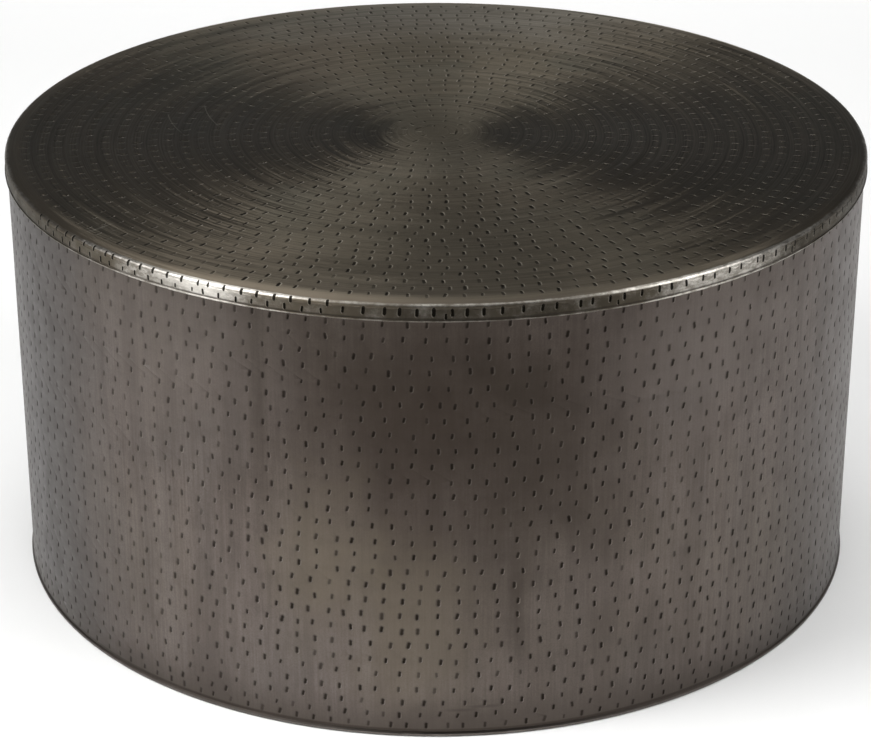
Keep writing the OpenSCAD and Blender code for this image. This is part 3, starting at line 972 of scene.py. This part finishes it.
# Painted highlight on the margin at the front left, where it turns down.
margin_glint = m.times(m.ramp(from_axis, 0.358, 0.372), m.ramp(x, 0.14, -0.06, 0.3, 0.85),
                 m.ramp(y, 0.05, -0.20, 0.35, 1.0), m.ramp(z, 0.3850, 0.3870, 0.4, 1.0))
tone = m.blend(margin_glint, tone, (0.21, 0.178, 0.135))
scuffs = m.noise(m.stretch(coords, (1.0, 1.0, 2.2)), 120.0, 5.0, 0.75)
bright = m.blend(m.ramp(scuffs, 0.40, 0.60), (0.36, 0.335, 0.295), (0.70, 0.665, 0.61))
tone = m.blend((wear_and_glint, "Wear"), tone, bright)
# A worn spot painted as polished metal, and as a painted glint.
polished_glint = spot(m, coords, (-0.186, -0.332, 0.387), (0.052, 0.052, 0.016), 0.6)
tone = m.blend(m.times(polished_glint, (wear_and_glint, "Wear")), tone, (0.96, 0.92, 0.85))
# The groove above the lip is painted dark, as shade.
groove_shade = m.times(m.ramp(z, 0.3790, 0.3778), m.ramp(z, 0.3766, 0.3770, 0.0, 0.6))
tone = m.blend(groove_shade, tone, (0.060, 0.050, 0.040))
# The slits' burrs are painted lighter as highlights, most on the sides of the lid, and their bottoms are
# painted dark as shade, darkest in front and on the turned-down edge.
across = m.math("ABSOLUTE", m.parts(away)[0])
burr_and_glint = m.times((slit, "Burr"), m.ramp(across, 0.55, 0.95, 0.42, 0.8))
tone = m.blend(burr_and_glint, tone, (0.50, 0.46, 0.39))
core_shade = m.times(m.ramp(across, 0.70, 0.96, 0.95, 0.4), m.ramp(y, 0.0, 0.2, 1.0, 0.7))
core_shade = m.most(core_shade, m.ramp(from_axis, 0.366, 0.372, 0.0, 0.96))
tone = m.blend(m.times((slit, "Core"), core_shade), tone, (0.014, 0.012, 0.009))
print("with its wear:", len(m.tree.nodes), "nodes")

# %% [markdown]
# A surface brushed in circles spreads light across its strokes and shows the hourglass sheen of a
# pan. That is the shader's anisotropy, with a tangent that runs round the axis. The strokes sway
# a little, most in the middle, and at the axis itself they have no direction. So the direction is
# turned into one with the doubled angle, which is the same for a stroke and its opposite, and is
# mixed with that of plain X near the axis. There, and in the slits, which the chisel struck after
# the lathe, it also gets a fine scatter, so these shine alike from all sides. The sum of such a
# vector and its own length along X points at half the angle again, which gives the tangent.

# %% The strokes on the lid, and its surface
sway = m.plus(m.about(bands, 0.6), m.about(arcs, 0.4), m.about(spun, m.ramp(from_axis, 0.22, 0.04, 1.8, 2.6)))
stroke = m.vector("CROSS_PRODUCT", (0.0, 0.0, 1.0), away)
stroke = m.vector("NORMALIZE", m.vector("ADD", stroke, m.vector("SCALE", away, sway)))
way_x, way_y = m.parts(stroke)[:2]
curved = m.ramp(from_axis, 0.0, 0.075)
double_x = m.minus(m.times(way_x, way_x), m.times(way_y, way_y))
double_x = m.plus(m.times(double_x, curved), m.minus(1.0, curved))
double_y = m.times(way_x, way_y, 2.0, curved)
struck = m.times(m.plus((slit, "Core"), (slit, "Burr")), 6.0)
stray = m.vector("SUBTRACT", m.noise(coords, 1300.0, 1.0, 0.5, "Color"), (0.5, 0.5, 0.5))
stray = m.vector("SCALE", stray, m.plus(m.ramp(from_axis, 0.2, 0.02, 0.5, 3.5), struck))
doubled = m.vector("ADD", m.join(double_x, double_y, 0.0), stray)
doubled = m.vector("MULTIPLY", doubled, (1.0, 1.0, 0.0))
halved = m.vector("ADD", doubled, m.join(m.vector("LENGTH", doubled), 0.0, 0.0))
m.plug(shader, "Tangent", m.vector("NORMALIZE", halved))
m.plug(shader, "Anisotropic", 0.85)
m.plug(shader, "Anisotropic Rotation", 0.25)
dull = m.plus(m.ramp(spun, 0.3, 0.7, 0.44, 0.56), m.ramp(from_axis, 0.10, 0.0, 0.0, 0.1),
              m.ramp(z, 0.3875, 0.3865, 0.0, 0.14), m.times((slit, "Core"), 0.15))
dull = m.minus(dull, m.times((wear_and_glint, "Wear"), 0.16))
height = m.plus(m.times(spun, 0.3), m.times((slit, "Burr"), 0.4))
cover(m, shader, tone, dull, m.minus(height, m.times((slit, "Core"), 0.8)), 0.3)
punched_lid.data.materials.append(lid_metal)
print("pewter_lid has", len(m.tree.nodes), "nodes")

# %% [markdown]
# ## The pieces inside
# The frame is painted black, the two boards are fibreboard sealed with a dark stain, the screws
# are zinc-plated, the strip on the rim is felt and the wires in the rolled edges are bare. Some of
# them show when the lid is lifted. Their five finishes are made of the same few nodes.


# %% Materials of the pieces inside
def plain_finish(name, dark, light, scale, rough, metallic=0.0, squeeze=(1.0, 1.0, 1.0), deep=0.0002):
    """A finish that wanders between two colours, with its roughness and a fine bump."""
    material, m, shader = new_material(name)
    coords = m.stretch(m.coords(), squeeze)
    broad, fine = m.noise(coords, scale, 5.0, 0.6), m.noise(coords, scale * 14, 3.0, 0.6)
    mixed = m.plus(m.times(broad, 0.6), m.times(fine, 0.4))
    tone = m.blend(m.ramp(mixed, 0.38, 0.62), dark, light)
    cover(m, shader, tone, m.ramp(mixed, 0.3, 0.7, *rough), fine, deep=deep, metallic=metallic)
    return material


finishes = {
    "frame_bar": plain_finish("frame_paint", (0.022, 0.020, 0.019), (0.040, 0.037, 0.034), 30.0, (0.42, 0.6)),
    "stained_board": plain_finish("black_board", (0.016, 0.013, 0.011), (0.038, 0.031, 0.025), 22.0,
                                  (0.6, 0.8), squeeze=(1.0, 6.0, 1.0)),
    "zinc_screw": plain_finish("zinc", (0.38, 0.38, 0.37), (0.56, 0.56, 0.55), 200.0, (0.28, 0.42), 1.0),
    "felt": plain_finish("felt", (0.012, 0.011, 0.010), (0.030, 0.028, 0.027), 160.0, (0.9, 1.0),
                         deep=0.0006),
    "bare_wire": plain_finish("drawn_wire", (0.22, 0.21, 0.20), (0.40, 0.38, 0.36), 90.0, (0.3, 0.45), 1.0),
}
for part in frame["record"]["subparts"]:
    if part["material_slot"] in finishes:
        mesh = nodes[part["node"]].data
        mesh.materials.clear()
        mesh.materials.append(finishes[part["material_slot"]])
print("finishes:", sorted(finishes))

# %% [markdown]
# ## Floor, light and camera
# A wide pale floor carries the table's shadow. It glows a little, and more so far out, where a
# camera or a mirroring surface sees it, so that it reads as a white ground.

# %% The floor
FLOOR_R = 25
FLOOR_POINTS = 96
floor_mesh = bpy.data.meshes.new("floor")
edge = np.arange(FLOOR_POINTS) * TURN / FLOOR_POINTS
ring = np.stack([FLOOR_R * np.cos(edge), FLOOR_R * np.sin(edge), np.full(FLOOR_POINTS, -0.0002)], axis=-1)
floor_mesh.from_pydata(ring.tolist(), [], [list(range(FLOOR_POINTS))])
floor = bpy.data.objects.new("floor", floor_mesh)
scene.collection.objects.link(floor)
floor_paint, m, shader = new_material("floor_paint")
coords = m.coords()
m.plug(shader, "Base Color", m.blend(m.noise(coords, 0.6, 2.0), (0.80, 0.80, 0.795), (0.83, 0.83, 0.825)))
m.plug(shader, "Roughness", 0.9)
rays = m.add("ShaderNodeLightPath")
seen = m.most((rays, "Is Camera Ray"), (rays, "Is Glossy Ray"), (rays, "Is Transmission Ray"))
glow = m.times(m.ramp(m.vector("LENGTH", coords), 0.9, 3.5), m.ramp(m.parts(coords)[1], -2.0, 0.5, 0.45, 0.7))
m.plug(shader, "Emission Strength", m.times(m.plus(glow, 0.05), seen))
m.plug(shader, "Emission Color", (1, 1, 1))
floor_mesh.materials.append(floor_paint)
print("floor: radius", FLOOR_R, "m")

# %% [markdown]
# Metal looks like what it mirrors. Six soft boxes stand 2 m from the lid, at the sides and the
# back, another one low behind it and one overhead. The side of the camera stays dim, which is
# what makes the drum look round. The wall mirrors the floor, and at twice its own bearing, so
# pools of light on the floor brighten chosen stretches of it. Their lamps hang low, face down,
# and aren't mirrored themselves. A dim grey world, lighter low down at the back, fills the rest.


# %% Lights
def soft_box(name, place, aim, size, radiance):
    """A rectangular light that glows with a given radiance and looks at a point."""
    light = bpy.data.lights.new(name, "AREA")
    light.shape, light.size, light.size_y = "RECTANGLE", size[0], size[1]
    light.energy = radiance * math.pi * size[0] * size[1]
    lamp = bpy.data.objects.new(name, light)
    lamp.location = place
    lamp.rotation_euler = (Vector(aim) - Vector(place)).to_track_quat("-Z", "Y").to_euler()
    lamp.visible_camera = False
    scene.collection.objects.link(lamp)
    return lamp


BOX_DISTANCE = 2.0
lid_middle = Vector((0, 0, LID_TOP * MM))
for name, bearing, elevation, size, radiance in (
        ("box_left", -77, 50, (1.3, 1.2), 2.7), ("box_right", 76, 50, (0.9, 1.2), 4.6),
        ("box_left_front", -55, 50, (0.8, 0.9), 6.2), ("box_left_low", -75, 28, (1.0, 1.0), 0.95),
        ("box_right_low", 75, 28, (0.8, 0.8), 0.9), ("box_back", 180, 55, (1.2, 1.0), 1.6)):
    turn, lift = math.radians(bearing), math.radians(elevation)
    way = Vector((math.sin(turn) * math.cos(lift), -math.cos(turn) * math.cos(lift), math.sin(lift)))
    soft_box(name, lid_middle + BOX_DISTANCE * way, lid_middle, size, radiance)
soft_box("box_back_low", (0, 1.35, 0.55), (0, 0, 0.5), (1.4, 0.4), 0.2)
soft_box("box_top", (0, 0, 2.4), lid_middle, (0.9, 0.9), 1.3)
for name, x, y, height, size, radiance in (
        ("floor_front_left", -0.28, -0.52, 0.38, 0.25, 7.2),
        ("floor_front_right", 0.28, -0.52, 0.42, 0.25, 4.4),
        ("floor_left", -0.85, -0.35, 0.8, 0.4, 1.5), ("floor_far_left", -1.25, -0.4, 0.9, 0.5, 0.5),
        ("floor_right", 0.85, -0.45, 0.8, 0.4, 1.6), ("floor_far_right", 1.25, -0.3, 0.9, 0.5, 0.8),
        ("floor_back", 0.0, 1.6, 2.2, 2.4, 2.1)):
    lamp = soft_box(name, (x, y, height), (x, y, 0), (size, size), radiance)
    lamp.visible_glossy = False

world = bpy.data.worlds.new("studio")
scene.world = world
world.use_nodes = True
world.node_tree.nodes.clear()
m = Recipe(world.node_tree)
way_y, way_z = m.parts((m.add("ShaderNodeTexCoord"), "Generated"))[1:]
low = m.times(m.ramp(way_z, 0.16, 0.0), m.ramp(way_y, -0.6, 0.3, 0.15, 0.4))
sky = m.add("ShaderNodeBackground", {"Color": (1, 1, 1), "Strength": m.plus(low, 0.06)})
m.add("ShaderNodeOutputWorld", {"Surface": (sky, "Background")})
print("lamps:", len(bpy.data.lights))

# %% [markdown]
# The camera was fitted to the outline in the photograph: 25 degrees above the table and 2.6 m
# from it. Its focal length and its slight turn to the side are in pixels of the photograph.

# %% The camera
PITCH = math.radians(25.21)
DISTANCE = 2.574
AIM = Vector((0, 0, 0.155))
FOCAL_PX, PHOTO_W_PX, ASIDE_PX = 2782, 871, 0.6
SENSOR = 36.0
camera_data = bpy.data.cameras.new("camera")
camera_data.sensor_width = SENSOR
camera_data.lens = FOCAL_PX * SENSOR / PHOTO_W_PX
camera_data.clip_end = 100
camera = bpy.data.objects.new("camera", camera_data)
camera.location = AIM + DISTANCE * Vector((0, -math.cos(PITCH), math.sin(PITCH)))
look = (AIM - camera.location).to_track_quat("-Z", "Y").to_matrix()
camera.rotation_euler = (look @ Matrix.Rotation(ASIDE_PX / FOCAL_PX, 3, "Y")).to_euler()
scene.collection.objects.link(camera)
scene.camera = camera
scene.view_settings.view_transform = "Standard"
print("camera", [round(c, 3) for c in camera.location], "lens", round(camera_data.lens, 1))
